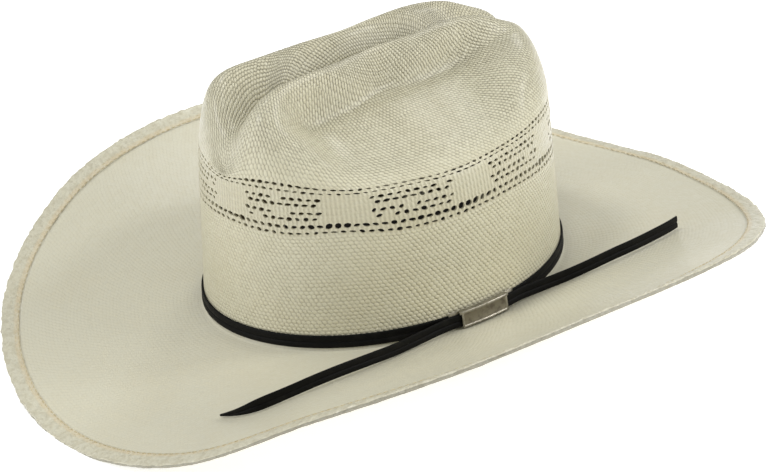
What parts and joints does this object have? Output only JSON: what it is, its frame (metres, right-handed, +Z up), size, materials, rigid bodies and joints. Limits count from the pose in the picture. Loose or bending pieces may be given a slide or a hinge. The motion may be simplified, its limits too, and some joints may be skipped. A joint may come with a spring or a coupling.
{
  "type": "western hat",
  "caption": "Woven straw western hat with a creased crown, open-work vents, a wide curled brim, a black band and strap, and a metal slide.",
  "frame": {"origin": "middle of the bounding box, on the floor that the brim rests on", "axes": "+Y towards the back of the hat, +X towards the wearer's left (the slide's side), +Z up"},
  "size_m": [0.3842, 0.4232, 0.1543],
  "materials": {
    "straw": "ivory woven straw, lightly lacquered",
    "strap": "black, satin, folded lengthwise",
    "pewter": "antique pewter, satin"
  },
  "bodies": {
    "root": {"straw_body": "straw", "hat_band": "strap", "tie_strap": "strap", "slide_buckle": "pewter"}
  },
  "joints": []
}
